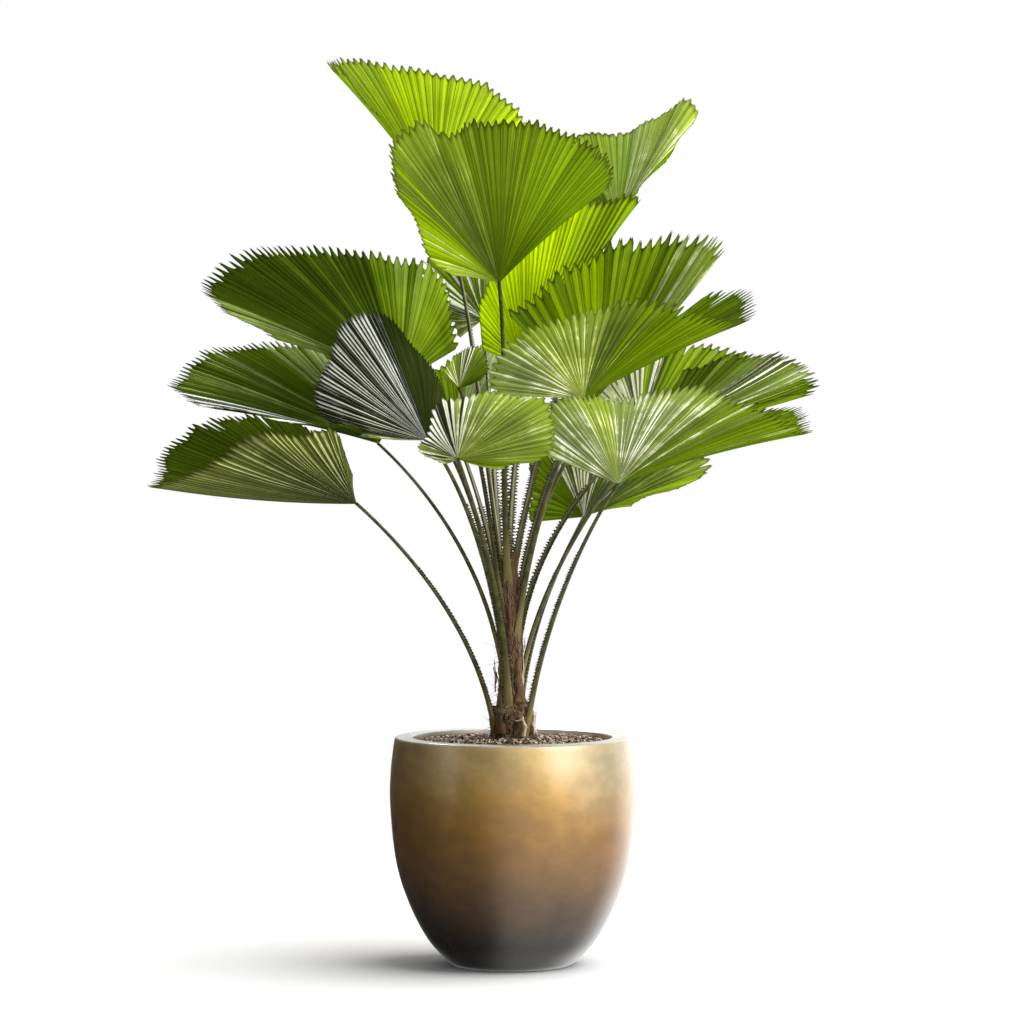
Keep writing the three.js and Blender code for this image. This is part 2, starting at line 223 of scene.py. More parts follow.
def pot_finish():
    """Sprayed metallic lacquer that fades down the pot, cloudy, with faint turned lines and a pale rim, and
    with painted shade darkening its left side and a painted pale gold highlight high on its right.
    """
    material, wire, shader = new_finish("pot_lacquer")
    place = wire.node("NewGeometry")
    height = place.part(2)
    drift = (place.stretched(1, 1, 1.6).noise(0.11, 5.0) - 0.5) * 0.2
    share = height * (1 / (POT_HEIGHT * MM)) + drift
    stops = [(stop, rgb(*colour)) for stop, colour in LACQUER]
    fading = wire.node("ValToRGB", {"stops": stops}, {0: share})
    rightward = place.part(0) + drift * 0.5
    # Painted highlight: high on the right side the lacquer turns pale gold, where the light falls brightest.
    pale = rightward.between(0.06, 0.2) * share.between(0.55, 0.9) * 0.6
    from_axis = wire.node("VectorMath", {"operation": "LENGTH"}, {0: place.stretched(1, 1, 0)}, 1)
    outside = from_axis.between(INSIDE_RADIUS * MM, (INSIDE_RADIUS + INSIDE_SOFTNESS) * MM)
    inside = (1 - outside) * height.between(INSIDE_FROM * MM, (INSIDE_FROM + INSIDE_SOFTNESS) * MM)
    rim = height.between(RIM_FROM * MM, (POT_HEIGHT - 1) * MM).math("MAXIMUM", inside)
    lacquer = rim.mixed(pale.mixed(fading, rgb(*PAINTED_GOLD_HIGHLIGHT)), rgb(*RIM_WHITE))
    patches = place.stretched(1, 1, 1.3).noise(0.055, 6.0)
    # Painted shade: the lacquer darkens by a third toward the pot's left side, away from the light.
    shaded = rightward.between(-0.24, 0.04) * 0.34 + 0.66
    colour = lacquer.scaled((patches.between(0.3, 0.75) * 0.24 + 0.84) * shaded)
    lines = place.stretched(6, 6, 900).noise(1.0, 2.0, 0.5)
    feed(shader, Base_Color=colour, Metallic=0.85 - rim * 0.6, Roughness=patches * 0.15 + 0.5)
    feed(shader, Coat_Weight=1.0, Coat_Roughness=0.27, Coat_IOR=2.0)
    feed(shader, Normal=(lines * 0.5 + patches).bump(0.0006, 0.35))
    return material


belly = [tuple(p) for p in smooth_through(POT_OUTLINE, POT_ROWS)[1:] if p[1] < POT_HEIGHT - POT_EDGE]
shoulder = quarter_round(POT_OUTLINE[-1][0] - POT_EDGE, POT_HEIGHT - POT_EDGE, POT_EDGE, 0)
lip = quarter_round(MOUTH_RADIUS + MOUTH_EDGE, POT_HEIGHT - MOUTH_EDGE, MOUTH_EDGE, 90)
pot_profile = [(0, 0), *FOOT_EDGE, *belly, *shoulder, *lip, *UNDER_LIP]
pot = mesh_piece("pot_shell", *turned(pot_profile, POT_SIDES), [pot_finish()])
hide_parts("pot")

# Soil: coarse potting mix of bark and coir, filled to just under the rim and a little higher round the trunk.
# Loose bark chips of several browns lie over it at all angles.
SOIL_TOP = 456
SOIL_RINGS = 44
SOIL_SIDES = 120
MOUND_HEIGHT = 10
MOUND_SPREAD = 110
CLOD_HEIGHT = 5
CLOD_SIZE = 22
CRUMB_HEIGHT = 2.5
CRUMB_SIZE = 6
CHIPS = 8600
CHIP_LENGTHS = (2.5, 10.5, 4)
CHIP_FACES = [(0, 2, 3, 1), (4, 5, 7, 6), (0, 1, 5, 4), (2, 6, 7, 3), (0, 4, 6, 2), (1, 3, 7, 5)]
dice = random.Random(7)


def soil_finish(name, dark, light):
    """Crumbly brown matter, darker in its hollows with painted shade."""
    material, wire, shader = new_finish(name)
    place = wire.node("NewGeometry")
    crumbs = place.noise(0.004, 6.0, 0.7)
    grain = place.stretched(1, 1, 3).noise(0.012, 4.0)
    # The darker colour follows the low places of the bump, so shade is painted into the hollows.
    colour = (crumbs * 0.6 + grain * 0.4).between(0.35, 0.65).mixed(dark, light)
    feed(shader, Base_Color=colour, Roughness=0.92, Normal=(crumbs + grain).bump(0.0012, 0.8))
    return material


def soil_height(x, y):
    """The mix's own level: a low mound round the trunk, with clods and crumbs."""
    mound = MOUND_HEIGHT * math.exp(-(x * x + y * y) / MOUND_SPREAD**2)
    clods = CLOD_HEIGHT * noise.noise((x / CLOD_SIZE, y / CLOD_SIZE, 0.3))
    crumbs = CRUMB_HEIGHT * noise.noise((x / CRUMB_SIZE, y / CRUMB_SIZE, 2.0))
    return SOIL_TOP + mound + clods + crumbs


def rotated(a, b, angle):
    """The pair a, b turned by an angle."""
    return a * math.cos(angle) - b * math.sin(angle), a * math.sin(angle) + b * math.cos(angle)


def chip_points(x, y, length, width, thickness):
    """Eight corners of one bark chip, skewed and turned at random and resting in the mix."""
    turn, tip, roll = dice.uniform(0, math.tau), dice.gauss(0, 0.45), dice.gauss(0, 0.35)
    level = soil_height(x, y) + thickness * 0.5
    points = []
    for k in range(8):
        a = (0.5 if k & 1 else -0.5) * length * dice.uniform(0.75, 1.1)
        b = (0.5 if k & 2 else -0.5) * width * dice.uniform(0.6, 1.15)
        c = (0.5 if k & 4 else -0.5) * thickness * dice.uniform(0.6, 1.2)
        a, c = rotated(a, c, tip)
        b, c = rotated(b, c, roll)
        a, b = rotated(a, b, turn)
        points.append((x + a, y + b, level + c))
    return points


ring_radii = np.linspace(0.5, MOUTH_RADIUS - 0.4, SOIL_RINGS)
soil_points = [(r * math.cos(a), r * math.sin(a)) for r in ring_radii for a in round_angles(SOIL_SIDES)]
soil_points = [(x, y, soil_height(x, y)) for x, y in soil_points]
soil_browns = [soil_finish("potting_mix", rgb(40, 30, 24), rgb(96, 74, 58)),
               soil_finish("bark_dark", rgb(36, 26, 22), rgb(82, 62, 50)),
               soil_finish("bark_brown", rgb(98, 74, 58), rgb(152, 126, 104)),
               soil_finish("bark_tan", rgb(178, 156, 134), rgb(236, 222, 206))]
soil = mesh_piece("soil_mix", soil_points, grid_faces(SOIL_RINGS, SOIL_SIDES, closed=True), soil_browns[:1])
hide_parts("soil")
chip_vertices, chip_faces, chip_browns = [], [], []
for _ in range(CHIPS):
    distance = (MOUTH_RADIUS - 9) * math.sqrt(dice.uniform(0.02, 1))
    angle = dice.uniform(0, math.tau)
    length = dice.triangular(*CHIP_LENGTHS)
    corners = chip_points(distance * math.cos(angle), distance * math.sin(angle), length,
                          length * dice.uniform(0.3, 0.7), length * dice.uniform(0.12, 0.3))
    chip_faces += [tuple(len(chip_vertices) + k for k in face) for face in CHIP_FACES]
    chip_vertices += corners
    chip_browns += dice.choices(range(3)) * len(CHIP_FACES)
chips = mesh_piece("bark_chips", chip_vertices, chip_faces, soil_browns[1:], smooth=False)
chips.data.polygons.foreach_set("material_index", chip_browns)

# Trunk: a short stem wrapped in the brown netted fibre of its leaf sheaths. It flares at the soil, tapers and
# leans a little, and sheds loose hairs. Dry strips of sheath lie up its sides, each (compass angle, lowest,
# highest, width, how far out).
TRUNK_TOP = 845
TRUNK_FOOT_X = 1
TRUNK_LEAN_X = -6
TRUNK_RADIUS = 24
TRUNK_TIP_RADIUS = 8
FLARE_WIDTH = 18
FLARE_END = 532
FLARE_SOFTNESS = 8
TRUNK_SUNK = 8
TRUNK_ROWS = 190
TRUNK_SIDES = 110
FULL_RELIEF_RADIUS = 30
TUFT_HEIGHT = 5
STRAND_HEIGHT = 2.2
WRAP_HEIGHT = 1.2
HAIRS = 260
HAIR_LENGTHS = (8, 30)
HAIR_RADII = (0.3, 0.6)
NET_STRANDS = 520
NET_RADII = (0.6, 1.3)
NET_STEPS = 8
NET_RISE = 6
MAT_STRANDS = 1500
MAT_RADII = (0.5, 1.0)
MAT_STEPS = 6
MAT_STEP = 3.4
MAT_TOP = 545
STRIP_ROWS = 18
STRIP_HALF_THICKNESS = 0.6
PALE_STRIPS = [(342, 538, 668, 6, 3), (326, 545, 640, 4, 4), (295, 471, 512, 8, 13), (332, 474, 516, 7, 8),
               (352, 470, 520, 7, 6), (160, 500, 600, 6, 4), (100, 480, 560, 8, 6), (60, 560, 650, 5, 3)]
BROWN_STRIPS = [(304, 538, 634, 22, 3), (195, 568, 624, 5, 9), (202, 560, 612, 4, 12), (140, 560, 650, 20, 3),
                (40, 600, 700, 18, 2), (265, 640, 740, 12, 2)]


def trunk_share(z):
    """How far up the trunk a height is, from 0 to 1."""
    return (z - SOIL_TOP) / (TRUNK_TOP - SOIL_TOP)


def trunk_middle(z):
    """How far right the leaning trunk's middle is at a height."""
    return TRUNK_FOOT_X + TRUNK_LEAN_X * trunk_share(z)


def trunk_radius(z):
    """The trunk's plain radius at a height, with its flare at the soil."""
    body = TRUNK_TIP_RADIUS + (TRUNK_RADIUS - TRUNK_TIP_RADIUS) * math.sqrt(max(0, 1 - trunk_share(z) ** 2))
    return body + FLARE_WIDTH / (1 + math.exp((z - FLARE_END) / FLARE_SOFTNESS))


def trunk_relief(angle, z):
    """Height of the fibre over the trunk's round: matted tufts, upright strands and a ragged wrap."""
    x, y = math.cos(angle), math.sin(angle)
    tufts = TUFT_HEIGHT * noise.noise((x * 2.2, y * 2.2, z / 34))
    strands = STRAND_HEIGHT * noise.noise((x * 13, y * 13, z / 60))
    turns = z / 9 + 3 * math.sin(angle * 2) + 2.5 * noise.noise((x * 2, y * 2, z / 25))
    return tufts + strands + WRAP_HEIGHT * math.sin(turns)


def trunk_point(angle, z, out=0.0):
    """A point on the trunk's fibre, or out from it."""
    radius = trunk_radius(z) + trunk_relief(angle, z) * min(1, trunk_radius(z) / FULL_RELIEF_RADIUS) + out
    return (trunk_middle(z) + radius * math.cos(angle), radius * math.sin(angle), z)


def away(angle):
    """The level direction out from the trunk."""
    return Vector((math.cos(angle), math.sin(angle), 0))


def aside(angle):
    """The level direction round the trunk."""
    return Vector((-math.sin(angle), math.cos(angle), 0))


def fibre_finish(name, dark, light):
    """Dry brown fibre with upright strands of lighter and darker brown."""
    material, wire, shader = new_finish(name)
    place = wire.node("NewGeometry")
    strands = place.stretched(1, 1, 0.08).noise(0.0016, 4.0, 0.7)
    patches = place.noise(0.03, 3.0)
    colour = (strands * 0.65 + patches * 0.35).between(0.36, 0.64).mixed(dark, light)
    feed(shader, Base_Color=colour, Roughness=0.85, Normal=strands.bump(0.0012, 0.9))
    return material


def strand(path, radius, thin=0.35):
    """Corners and faces of a thin three-sided strand along a path, thinner at its end."""
    points = []
    last = len(path) - 1
    for i, p in enumerate(path):
        ahead = Vector(path[min(i + 1, last)]) - Vector(path[max(i - 1, 0)])
        side = ahead.orthogonal().normalized()
        across = ahead.cross(side).normalized()
        width = radius * (1 - (1 - thin) * i / last)
        for a in (0, math.tau / 3, math.tau * 2 / 3):
            points.append(tuple(Vector(p) + side * width * math.cos(a) + across * width * math.sin(a)))
    return points, grid_faces(len(path), 3, closed=True)


def joined(parts):
    """Several sets of corners and faces as one."""
    points, faces = [], []
    for some_points, some_faces in parts:
        faces += [tuple(len(points) + k for k in face) for face in some_faces]
        points += some_points
    return points, faces


def net_path():
    """A strand that lies on the trunk and climbs round it at a slant."""
    angle, z = dice.uniform(0, math.tau), dice.triangular(SOIL_TOP + 4, TRUNK_TOP - 40, SOIL_TOP + 60)
    slant = dice.choice((-1, 1)) * dice.uniform(0.15, 1.1)
    return [trunk_point(angle + slant * i / NET_STEPS, z + NET_RISE * i, 0.5 + 1.2 * dice.random())
            for i in range(NET_STEPS + 1)]


def mat_path():
    """A short curling strand of the tangled mat round the foot."""
    angle, z = dice.uniform(0, math.tau), dice.uniform(SOIL_TOP + 2, MAT_TOP - 14)
    heading, bend = dice.uniform(0, math.tau), dice.gauss(0, 0.45)
    path = []
    for i in range(MAT_STEPS + 1):
        out = 0.5 + 2.5 * math.sin(math.pi * i / MAT_STEPS) * dice.uniform(0.3, 1)
        path.append(trunk_point(angle, min(z, MAT_TOP), out))
        angle += MAT_STEP * math.cos(heading) / trunk_radius(z)
        z += MAT_STEP * math.sin(heading)
        heading += bend
    return path


def hair_path():
    """A loose hair that leaves the trunk and curls away."""
    angle, z = dice.uniform(0, math.tau), dice.triangular(SOIL_TOP + 2, TRUNK_TOP - 10, SOIL_TOP + 70)
    length = dice.uniform(*HAIR_LENGTHS)
    start = Vector(trunk_point(angle, z, -1))
    travel = Vector((math.cos(angle) * 0.6, math.sin(angle) * 0.6, dice.uniform(-0.9, 1.6))).normalized()
    curl = Vector((dice.gauss(0, 1), dice.gauss(0, 1), dice.gauss(0, 0.6))) * 0.35
    return [start + travel * length * t + curl * length * t * t for t in np.linspace(0, 1, 6)]


def end_face(points, sides):
    """The face that closes the last ring of points."""
    return tuple(range(len(points) - sides, len(points)))


def sheath_strip(compass, low, high, width, out):
    """A flat strip of dry leaf sheath that lies up the trunk and peels away a little at its ragged top."""
    points = []
    thick = STRIP_HALF_THICKNESS
    for share in np.linspace(0, 1, STRIP_ROWS):
        z = low + (high - low) * share
        angle = math.radians(compass) + 0.16 * noise.noise((compass, z / 25, 0))
        centre = Vector(trunk_point(angle, z, out + 4 * share**3))
        half = width * 0.5 * (1 - 0.55 * share**2) * (1 + 0.3 * noise.noise((z / 7, compass, 1)))
        for across, deep in ((-half, -thick), (half, -thick), (half, thick), (-half, thick)):
            points.append(tuple(centre + aside(angle) * across + away(angle) * deep))
    return points, grid_faces(STRIP_ROWS, 4, closed=True) + [(3, 2, 1, 0), end_face(points, 4)]


heights = np.linspace(SOIL_TOP - TRUNK_SUNK, TRUNK_TOP, TRUNK_ROWS)
trunk_points = [trunk_point(a, z) for z in heights for a in round_angles(TRUNK_SIDES)]
trunk_faces = grid_faces(TRUNK_ROWS, TRUNK_SIDES, closed=True) + [end_face(trunk_points, TRUNK_SIDES)]
fibre_brown = fibre_finish("sheath_fibre", rgb(40, 25, 16), rgb(148, 108, 76))
fibre_tan = fibre_finish("pale_fibre", rgb(124, 90, 64), rgb(208, 178, 144))
fibre_pale = fibre_finish("dry_fibre", rgb(168, 146, 118), rgb(226, 212, 188))
trunk = mesh_piece("trunk_fibre", trunk_points, trunk_faces, [fibre_brown])
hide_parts("trunk")
nets = joined(strand(net_path(), dice.uniform(*NET_RADII), 0.6) for _ in range(NET_STRANDS))
mats = [strand(mat_path(), dice.uniform(*MAT_RADII), 0.5) for _ in range(MAT_STRANDS)]
hairs = joined(strand(hair_path(), dice.uniform(*HAIR_RADII)) for _ in range(HAIRS))
fibre_pieces = {
    "sheath_net": (nets, fibre_tan),
    "brown_mat": (joined(mats[::2]), fibre_brown),
    "tan_mat": (joined(mats[1::4]), fibre_tan),
    "pale_mat": (joined(mats[3::8]), fibre_pale),
    "loose_hairs": (hairs, fibre_brown),
    "pale_sheaths": (joined(sheath_strip(*strip) for strip in PALE_STRIPS), fibre_pale),
    "brown_sheaths": (joined(sheath_strip(*strip) for strip in BROWN_STRIPS), fibre_brown),
}
for name, (shape, finish) in fibre_pieces.items():
    fibres = mesh_piece(name, *shape, [finish])

# Old leaf bases: short stubs left round the trunk's foot where the first leaves were cut off. Each is a thick
# clasping base at a (compass angle, height), brown and fibrous outside, with a pale flat cut.
OLD_BASES = {
    "front": (290, 472), "left": (232, 478), "right": (35, 484), "back": (80, 492), "back_left": (142, 494),
}
OLD_BASE_LENGTH = 34
OLD_BASE_RADIUS = 10
OLD_BASE_DEPTH = 0.72
OLD_BASE_TILT = 8
FOOT_SUNK = 2
STUB_SIDES = 20
STUB_ROWS = 10


def side_place(compass, height, tilt):
    """A place on the trunk's side, a little way in, and the direction that rises from it at a tilt."""
    outward, tilt = away(math.radians(compass)), math.radians(tilt)
    centre = Vector((trunk_middle(height), 0, height))
    start = centre + outward * (trunk_radius(height) - FOOT_SUNK)
    return start, outward * math.sin(tilt) + Vector((0, 0, math.cos(tilt)))


def wood_finish(name, dark, light, size, roughness):
    """Plain plant matter, mottled, with fine upright grain."""
    material, wire, shader = new_finish(name)
    place = wire.node("NewGeometry")
    mottle = place.noise(size, 4.0, 0.65)
    grain = place.stretched(1, 1, 0.15).noise(size / 5, 3.0)
    colour = (mottle * 0.6 + grain * 0.4).between(0.38, 0.62).mixed(dark, light)
    feed(shader, Base_Color=colour, Roughness=roughness, Normal=grain.bump(0.0006, 0.6))
    return material


cut_wood = wood_finish("cut_face", rgb(168, 136, 98), rgb(222, 202, 172), 0.004, 0.8)
for name, (compass, height) in OLD_BASES.items():
    start, climb = side_place(compass, height, OLD_BASE_TILT)
    across = aside(math.radians(compass))
    inward = climb.cross(across)
    points = []
    for share in np.arange(STUB_ROWS) / (STUB_ROWS - 1):
        centre = start + climb * OLD_BASE_LENGTH * share
        wide = OLD_BASE_RADIUS * (1.65 - 0.75 * share)
        for a in round_angles(STUB_SIDES):
            rough = 1 + 0.1 * noise.noise((math.cos(a) * 3, math.sin(a) * 3, share * 3 + height))
            lift = (2.5 * math.cos(a) + 1.5 * noise.noise((3 * a, height, 0))) * (share == 1)
            points.append(centre + across * wide * rough * math.cos(a)
                          + inward * OLD_BASE_RADIUS * OLD_BASE_DEPTH * rough * math.sin(a) + climb * lift)
    faces = grid_faces(STUB_ROWS, STUB_SIDES, closed=True) + [end_face(points, STUB_SIDES)]
    stub = mesh_piece(f"cut_base_{name}", points, faces, [fibre_brown, cut_wood])
    stub.data.polygons[-1].material_index = 1
    stub.data.polygons[-1].use_smooth = False
    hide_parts(f"old_base_{name}")

# Fronds: each a stalk and a blade at its tip. hub is where the blade's ribs meet, foot the compass angle and
# height on the trunk, rise how far the stalk climbs before it bends, and arrive the bearing, lean and pull
# with which it reaches the hub. Each rib is (bearing, lean, length), and tones names the tone of its leaf.
# Tones paint light and shade into the leaflets' colour, so one blade can look lit in one part and shaded in
# another.
FRONDS = {
    "top_front": dict(
        hub=(-26, -60, 1396), foot=(250, 800), rise=260, arrive=(96, -5, 160), pitch=17, teeth=0.034,
        crisp=0.7, splits=((0.6, 0.3),),
        tones="lime lime fresh sage sage sage sage leaf leaf green dusk green green",
        ribs=[(168, -55, 180), (159, -42, 203), (145, -20, 236), (130, 20, 373), (122, 23, 402),
              (116, 23, 396), (111, 18, 339), (99, 28, 373), (88, 32, 386), (70, 29, 378), (54, 18, 358),
              (43, -4, 326), (47, -40, 270)]),
    "top_left": dict(
        hub=(-160, 150, 1581), foot=(160, 790), rise=420, arrive=(114, -16, 200), teeth=0.042, crisp=0.7,
        tones="bright bright bright bright bright bright bright fresh green fresh green green",
        ribs=[(10, -50, 300), (28, -46, 340), (45, -44, 366), (59, -45, 389), (70, -45, 407), (95, -45, 408),
              (109, -42, 429), (118, -37, 460), (127, -28, 429), (128, 0, 355), (127, 30, 330),
              (125, 50, 300)]),
    "top_right": dict(
        hub=(225, 330, 1546), foot=(62, 800), rise=260, tilt=20, arrive=(70, 0, 320), pitch=16, teeth=0.03,
        tones="fresh fresh fresh fresh lime lime lime green green",
        ribs=[(150, -55, 250), (117, -50, 340), (105, -55, 360), (85, -55, 370), (68, -49, 390),
              (61, -44, 458), (53, -46, 444), (52, -62, 400), (56, -80, 340)]),
    "upper_back": dict(
        hub=(23, 200, 1228), foot=(98, 760), rise=200, arrive=(90, -40, 140), pitch=15, teeth=0.03,
        tones="bright bright bright bright bright fresh fresh fresh",
        ribs=[(155, -45, 130), (136, -36, 168), (117, -30, 214), (101, -25, 285), (73, -13, 381),
              (63, -9, 417), (55, -6, 444), (56, -14, 402)]),
    "upper_right": dict(
        hub=(169, -40, 1158), foot=(10, 735), rise=220, arrive=(68, 3, 130), pitch=22, teeth=0.08,
        tones="green fresh fresh bright fresh fresh green pale lime pale",
        ribs=[(135, -38, 335), (119, -41, 351), (102, -38, 374), (92, -36, 387), (82, -32, 404),
              (70, -28, 425), (60, -22, 440), (55, -16, 447), (52, -8, 431), (50, 3, 412)]),
    "mid_right": dict(
        hub=(144, -180, 1160), foot=(322, 690), rise=220, arrive=(68, 26, 140), pitch=19, teeth=0.085,
        crisp=0.7, splits=((3.9, 0.13),),
        tones="lime pale pale lime lime lime sage green green leaf green green",
        ribs=[(178, 45, 270), (169, 47, 303), (158, 50, 314), (135, 57, 335), (96, 64, 400), (80, 63, 405),
              (59, 57, 415), (44, 50, 415), (27, 34, 398), (29, 3, 402), (35, -13, 410), (40, -25, 384)]),
    "right_back": dict(
        hub=(266, 130, 1107), foot=(48, 640), rise=240, arrive=(50, -24, 140), teeth=0.075,
        tones="fresh pale chalk chalk fresh green green sage",
        ribs=[(170, -48, 280), (150, -56, 320), (120, -62, 340), (90, -62, 380), (53, -58, 410),
              (36, -50, 440), (25, -38, 440), (18, -15, 380)]),
    "far_right": dict(
        hub=(283, 20, 1089), foot=(352, 590), rise=200, arrive=(48, -4, 140), teeth=0.06,
        tones="leaf sage chalk sage pale green leaf leaf",
        ribs=[(60, -60, 330), (36, -40, 390), (30, -32, 400), (25, -22, 390), (20, -6, 372), (16, 13, 367),
              (15, 26, 360), (18, 38, 300)]),
    "low_right_front": dict(
        hub=(210, -290, 992), foot=(325, 495), rise=200, arrive=(56, 36, 140), pitch=16, teeth=0.06,
        crisp=0.7, tones="pale pale lime pale pale pale sage green green leaf deep deep",
        ribs=[(158, 50, 280), (135, 46, 300), (107, 59, 370), (90, 65, 410), (62, 59, 415), (50, 53, 430),
              (40, 50, 440), (17, 28, 430), (19, 0, 403), (24, -16, 411), (30, -33, 330), (45, -50, 260)]),
    "low_right_back": dict(
        hub=(150, 150, 915), foot=(35, 545), rise=170, arrive=(62, -25, 110),
        tones="green green green chalk chalk sage fresh pale green",
        ribs=[(190, -68, 300), (170, -68, 310), (134, -57, 310), (100, -50, 330), (68, -52, 370),
              (24, -43, 425), (18, -44, 414), (16, -51, 375), (8, -68, 300)]),
    "low_front": dict(
        hub=(-107, -320, 1042), foot=(256, 537), rise=230, arrive=(108, 42, 160), pitch=15, teeth=0.035,
        tones="pale pale silver silver pale lime lime lime lime fresh",
        ribs=[(200, 82, 230), (170, 74, 240), (144, 75, 300), (103, 70, 340), (75, 67, 350), (56, 63, 345),
              (36, 53, 345), (14, 53, 335), (2, 57, 300), (-12, 70, 260)]),
    "young": dict(
        hub=(-108, 5, 1183), foot=(200, 740), rise=180, arrive=(112, 4, 110), pitch=7,
        tones="sage pale sage silver sage leaf leaf",
        ribs=[(149, 25, 48), (116, 17, 59), (92, 10, 73), (75, 7, 92), (58, 8, 97), (41, 14, 83),
              (16, 31, 59)]),
    "upper_left": dict(
        hub=(-231, 50, 1196), foot=(168, 690), rise=280, arrive=(138, -5, 110), pitch=19, teeth=0.07,
        tones="green fresh fresh green deep leaf deep deep sage sage",
        ribs=[(32, -63, 325), (61, -57, 374), (77, -51, 419), (99, -50, 446), (117, -46, 466),
              (127, -37, 469), (143, -17, 470), (155, 0, 462), (158, 25, 410), (162, 42, 370)]),
    "mid_left": dict(
        hub=(-272, -30, 1069), foot=(184, 617), rise=190, arrive=(138, 0, 150), pitch=15, teeth=0.06,
        tones="deep deep leaf sage leaf sage leaf silver deep deep",
        ribs=[(70, -75, 300), (90, -68, 330), (116, -57, 415), (138, -44, 440), (144, -35, 445),
              (155, -17, 450), (165, 3, 450), (167, 35, 390), (163, 62, 350), (140, 80, 290)]),
    "left_front": dict(
        hub=(-166, -320, 1079), foot=(232, 600), rise=230, arrive=(134, 40, 100), pitch=9, teeth=0.03,
        tones="shade shade shade shade shade shade silver silver silver silver silver pale",
        ribs=[(4, -59, 198), (44, -69, 208), (75, -65, 243), (92, -57, 291), (101, -51, 334), (108, -45, 368),
              (118, -40, 380), (127, -37, 383), (144, -39, 340), (162, -39, 325), (170, -44, 309),
              (176, -56, 289)]),
    "low_left": dict(
        hub=(-312, -150, 949), foot=(204, 480), rise=215, arrive=(138, 15, 120), pitch=15, teeth=0.05,
        crisp=0.7, splits=((9.0, 0.14),),
        tones="olive olive olive olive olive olive olive deep deep deep deep deep shade",
        ribs=[(85, 76, 288), (94, 70, 339), (101, 64, 369), (129, 62, 385), (142, 55, 425), (159, 49, 440),
              (175, 23, 440), (171, -5, 425), (164, -23, 458), (151, -35, 450), (143, -45, 440),
              (134, -54, 425), (110, -72, 330)]),
    "back_low": dict(
        hub=(-110, 330, 1060), foot=(108, 590), rise=220, arrive=(112, -45, 150),
        tones="green green sage green leaf leaf deep deep deep",
        ribs=[(63, -15, 290), (60, -35, 350), (70, -52, 400), (101, -64, 440), (142, -65, 455),
              (148, -50, 450), (145, -30, 420), (137, -11, 350), (122, 5, 290)]),
    "back_right": dict(
        hub=(240, 330, 1290), foot=(55, 700), rise=260, arrive=(52, -40, 160),
        tones="leaf leaf green fresh fresh green green leaf",
        ribs=[(60, 0, 230), (60, -25, 280), (54, -45, 350), (58, -62, 400), (102, -67, 430), (130, -55, 380),
              (135, -48, 320), (131, -21, 270)]),
    "back_upper": dict(
        hub=(-60, 330, 1330), foot=(118, 675), rise=260, tilt=11, arrive=(95, -20, 160),
        tones="fresh fresh fresh green chalk chalk chalk chalk pale pale",
        ribs=[(66, -8, 200), (57, -33, 300), (72, -50, 380), (99, -62, 440), (139, -62, 450), (156, -50, 440),
              (158, -33, 380), (155, -28, 220), (176, -54, 136), (-146, -53, 118)]),
}


def direction(bearing, lean):
    """A unit direction: bearing anticlockwise from +X as seen from the front, and lean toward the front."""
    a, b = math.radians(bearing), math.radians(lean)
    return np.array([math.cos(a) * math.cos(b), -math.sin(b), math.sin(a) * math.cos(b)])


# Leaf stalks: smooth and olive, channelled above. Each clasps the trunk with a broad tan base and ends in its
# blade, and both edges carry small dark hooked spines along the lower two thirds.
STALK_BASE_RADIUS = 6.5
STALK_TIP_RADIUS = 4
STALK_TILT = 9
STALK_ROWS = 56
STALK_SIDES = 14
INTO_HUB = 3
SKIRT = [(46, 1.0), (30, 0.7), (14, 0.35)]
SKIRT_IN = 2.5
CLASP_LENGTH = 34
CHANNEL_DEPTH = 0.42
FIRST_SPINE = 34
SPINE_GAP = 6.5
SPINED_SHARE = 0.68
SPINE_LENGTHS = (6.0, 9.0)
SPINE_RINGS = [(2.6, 1.4), (1.4, 0.7)]


def stalk_finish():
    """Olive green with fine lengthwise lines, paler at the clasping base, and with a painted highlight
    streaked along its channel.
    """
    material, wire, shader = new_finish("stalk_skin")
    along = wire.node("UVMap", {"uv_map": "along"})
    place = wire.node("NewGeometry")
    blotch = place.noise(0.02, 4.0)
    lines = along.stretched(26, 5, 1).noise(1.0, 3.0)
    green = blotch.between(0.35, 0.7).mixed(rgb(60, 66, 26), rgb(100, 100, 46))
    lined = (lines.between(0.45, 0.75) * 0.6).mixed(green, rgb(62, 52, 30))
    # Painted highlight: pale streaks along the flat channel on the stalk's inner side.
    channel = 1 - (along.part(0) - 0.25).math("ABSOLUTE").between(0.04, 0.1)
    lined = (channel * lines.between(0.3, 0.6) * 0.7).mixed(lined, rgb(196, 190, 158))
    above_base = (along.part(1) + (blotch - 0.5) * 0.04).between(0.0, 0.11)
    colour = above_base.mixed(rgb(138, 126, 76), lined)
    feed(shader, Base_Color=colour, Roughness=lines * 0.2 + 0.36, Specular_IOR_Level=0.3)
    feed(shader, Normal=lines.bump(0.0004, 0.5))
    return material


def lengths_along(points):
    """How far along a line of points each of them is."""
    return np.concatenate([[0], np.cumsum(np.linalg.norm(np.diff(points, axis=0), axis=1))])


def stalk_radius(share):
    """The stalk's radius at a share of its length."""
    return STALK_BASE_RADIUS + (STALK_TIP_RADIUS - STALK_BASE_RADIUS) * min(1, share * 1.15)


def stalk_line(frond):
    """Points and unit travel along a stalk's middle, from its foot to the hub."""
    start, climb = side_place(*frond["foot"], frond.get("tilt", STALK_TILT))
    hub = np.array(frond["hub"], float)
    bearing, lean, pull = frond["arrive"]
    travel = direction(bearing, lean)
    risen = start + climb * frond["rise"]
    corners = [np.array(start), np.array(risen), hub - travel * pull, hub + travel * INTO_HUB]
    t = np.linspace(0, 1, STALK_ROWS)[:, None]
    points = ((1 - t) ** 3 * corners[0] + 3 * t * (1 - t) ** 2 * corners[1]
              + 3 * t**2 * (1 - t) * corners[2] + t**3 * corners[3])
    ahead = np.gradient(points, axis=0)
    return points, ahead / np.linalg.norm(ahead, axis=1, keepdims=True)


